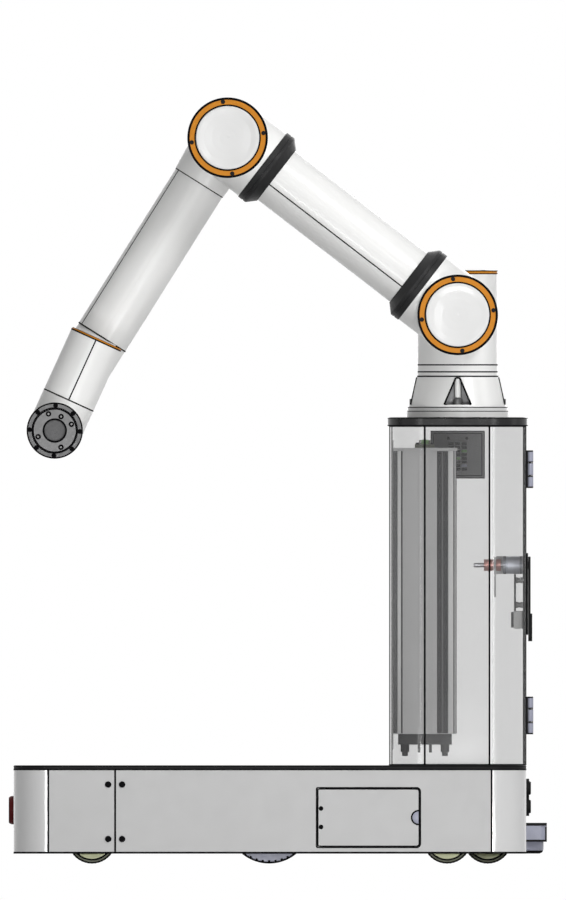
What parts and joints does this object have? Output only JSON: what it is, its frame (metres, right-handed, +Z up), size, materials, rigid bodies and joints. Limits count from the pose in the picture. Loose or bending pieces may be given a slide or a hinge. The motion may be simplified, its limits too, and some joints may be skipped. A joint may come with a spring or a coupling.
{
  "type": "mobile manipulator",
  "caption": "Low wheeled mobile base with a cabinet column and a jointed robot arm with a tool flange, for moving and handling parts.",
  "frame": {"origin": "on the floor, under the middle of the overall box", "axes": "+Z up; -X towards the front of the base, with the stop button; +X towards the column's door; -Y towards the left side, with the hatch, which the arm's round covers face"},
  "size_m": [0.756, 0.4832, 1.0761],
  "materials": {
    "white_aluminium": "satin",
    "orange_ring": "gloss",
    "black_plastic": "matte",
    "black_metal": "satin",
    "grey_shell": "satin",
    "grey_panel": "satin",
    "clear_panel": "gloss",
    "inner_steel": "satin",
    "battery_case": "matte",
    "bright_steel": "brushed",
    "blue_grey": "satin",
    "flange_grey": "satin",
    "wheel_tyre": "matte",
    "castor_rubber": "matte",
    "case_grey": "satin",
    "terminal_green": "matte",
    "red_plastic": "gloss"
  },
  "bodies": {
    "chassis": {"base_pan": "inner_steel", "deck_plate": "black_metal", "front_shell": "grey_shell", "rear_shell": "grey_shell", "left_side_panel": "grey_panel", "right_side_panel": "grey_panel", "front_side_panels": "grey_panel", "battery_pack": "battery_case", "drive_motors": "bright_steel", "castor_plates": "inner_steel", "scanner_base": "blue_grey", "control_bezels": "black_plastic", "case_screws": "black_metal", "column_floor": "grey_panel", "column_front_shell": "clear_panel", "column_side_panels": "clear_panel", "column_rear_frame": "black_metal", "column_top_plate": "black_metal", "controller_case": "case_grey", "controller_base": "black_plastic", "terminal_block": "terminal_green", "junction_box": "black_plastic", "arm_foot": "white_aluminium"},
    "shoulder": {"shoulder_housing": "white_aluminium", "shoulder_cap_ring": "orange_ring", "shoulder_lid": "white_aluminium"},
    "upper_arm": {"shoulder_joint_housing": "white_aluminium", "elbow_joint_housing": "white_aluminium", "upper_arm_tube": "white_aluminium", "upper_arm_collars": "black_plastic", "upper_arm_cap_rings": "orange_ring", "upper_arm_lids": "white_aluminium"},
    "forearm": {"forearm_elbow": "white_aluminium", "forearm_tube": "white_aluminium", "forearm_end_housing": "white_aluminium", "forearm_cap": "white_aluminium"},
    "wrist_one": {"wrist_one_housing": "white_aluminium", "wrist_one_cap": "orange_ring"},
    "wrist_two": {"wrist_two_housing": "white_aluminium", "flange_ring": "flange_grey"},
    "flange": {"tool_flange": "flange_grey"},
    "left_drive": {"drive_wheel_left": "wheel_tyre"},
    "right_drive": {"drive_wheel_right": "wheel_tyre"},
    "front_left_fork": {"castor_fork_front_left": "bright_steel"},
    "front_left_castor": {"castor_wheel_front_left": "castor_rubber"},
    "front_right_fork": {"castor_fork_front_right": "bright_steel"},
    "front_right_castor": {"castor_wheel_front_right": "castor_rubber"},
    "rear_left_fork": {"castor_fork_rear_left": "bright_steel"},
    "rear_left_castor": {"castor_wheel_rear_left": "castor_rubber"},
    "rear_right_fork": {"castor_fork_rear_right": "bright_steel"},
    "rear_right_castor": {"castor_wheel_rear_right": "castor_rubber"},
    "door": {"rear_door": "black_metal", "lock_body": "black_metal"},
    "lock": {"lock_spindle": "bright_steel", "lock_handle": "black_metal"},
    "hatch": {"hatch_door": "grey_panel"},
    "estop": {"estop_head": "red_plastic"},
    "start": {"start_button": "black_plastic"},
    "reset": {"reset_button": "black_plastic"},
    "scanner": {"scanner_head": "blue_grey"}
  },
  "joints": [
    {"name": "base_turn", "type": "hinge", "parent": "chassis", "child": "shoulder", "pos_m": [0.2528, 0, 0.69], "axis": [0, 0, 1], "range_deg": [-175, 175]},
    {"name": "shoulder_bend", "type": "hinge", "parent": "shoulder", "child": "upper_arm", "pos_m": [0.2528, -0.073, 0.7708], "axis": [0, -1, 0], "range_deg": [-175, 50]},
    {"name": "elbow_bend", "type": "hinge", "parent": "upper_arm", "child": "forearm", "pos_m": [-0.07045, -0.073, 1.01974], "axis": [0, 1, 0], "range_deg": [-45, 175]},
    {"name": "wrist_bend", "type": "hinge", "parent": "forearm", "child": "wrist_one", "pos_m": [-0.27082, -0.066, 0.70157], "axis": [0, -1, 0], "range_deg": [-130, 175]},
    {"name": "wrist_turn", "type": "hinge", "parent": "wrist_one", "child": "wrist_two", "pos_m": [-0.27082, -0.1215, 0.70157], "axis": [-0.4147, 0, -0.91], "range_deg": [-175, 115]},
    {"name": "flange_turn", "type": "hinge", "parent": "wrist_two", "child": "flange", "pos_m": [-0.31332, -0.215, 0.6083], "axis": [0, -1, 0], "range_deg": [-175, 175]},
    {"name": "left_drive_roll", "type": "hinge", "parent": "chassis", "child": "left_drive", "pos_m": [-0.012, -0.195, 0.06], "axis": [0, 1, 0], "continuous": true},
    {"name": "right_drive_roll", "type": "hinge", "parent": "chassis", "child": "right_drive", "pos_m": [-0.012, 0.195, 0.06], "axis": [0, 1, 0], "continuous": true},
    {"name": "front_left_swivel", "type": "hinge", "parent": "chassis", "child": "front_left_fork", "pos_m": [-0.2895, -0.16, 0.08], "axis": [0, 0, 1], "continuous": true},
    {"name": "front_left_roll", "type": "hinge", "parent": "front_left_fork", "child": "front_left_castor", "pos_m": [-0.261, -0.16, 0.034], "axis": [0, 1, 0], "continuous": true},
    {"name": "front_right_swivel", "type": "hinge", "parent": "chassis", "child": "front_right_fork", "pos_m": [-0.2895, 0.16, 0.08], "axis": [0, 0, 1], "continuous": true},
    {"name": "front_right_roll", "type": "hinge", "parent": "front_right_fork", "child": "front_right_castor", "pos_m": [-0.261, 0.16, 0.034], "axis": [0, 1, 0], "continuous": true},
    {"name": "rear_left_swivel", "type": "hinge", "parent": "chassis", "child": "rear_left_fork", "pos_m": [0.2665, -0.16, 0.08], "axis": [0, 0, 1], "continuous": true},
    {"name": "rear_left_roll", "type": "hinge", "parent": "rear_left_fork", "child": "rear_left_castor", "pos_m": [0.238, -0.16, 0.034], "axis": [0, 1, 0], "continuous": true},
    {"name": "rear_right_swivel", "type": "hinge", "parent": "chassis", "child": "rear_right_fork", "pos_m": [0.2665, 0.16, 0.08], "axis": [0, 0, 1], "continuous": true},
    {"name": "rear_right_roll", "type": "hinge", "parent": "rear_right_fork", "child": "rear_right_castor", "pos_m": [0.295, 0.16, 0.034], "axis": [0, 1, 0], "continuous": true},
    {"name": "rear_door_swing", "type": "hinge", "parent": "chassis", "child": "door", "pos_m": [0.3541, -0.056, 0.38], "axis": [0, 0, -1], "range_deg": [0, 110]},
    {"name": "lock_turn", "type": "hinge", "parent": "door", "child": "lock", "pos_m": [0.34905, 0.015, 0.41925], "axis": [1, 0, 0], "range_deg": [0, 90]},
    {"name": "hatch_swing", "type": "hinge", "parent": "chassis", "child": "hatch", "pos_m": [0.0578, -0.238, 0.0645], "axis": [0, 0, -1], "range_deg": [0, 100]},
    {"name": "estop_press", "type": "slide", "parent": "chassis", "child": "estop", "axis": [1, 0, 0], "range_m": [0, 0.0045], "stiffness_N_per_m": 500, "springref_m": -0.001},
    {"name": "start_press", "type": "slide", "parent": "chassis", "child": "start", "axis": [-1, 0, 0], "range_m": [0, 0.003], "stiffness_N_per_m": 300, "springref_m": -0.001},
    {"name": "reset_press", "type": "slide", "parent": "chassis", "child": "reset", "axis": [-1, 0, 0], "range_m": [0, 0.003], "stiffness_N_per_m": 300, "springref_m": -0.001},
    {"name": "scanner_spin", "type": "hinge", "parent": "chassis", "child": "scanner", "pos_m": [0.34345, 0, 0.022], "axis": [0, 0, 1], "continuous": true}
  ]
}
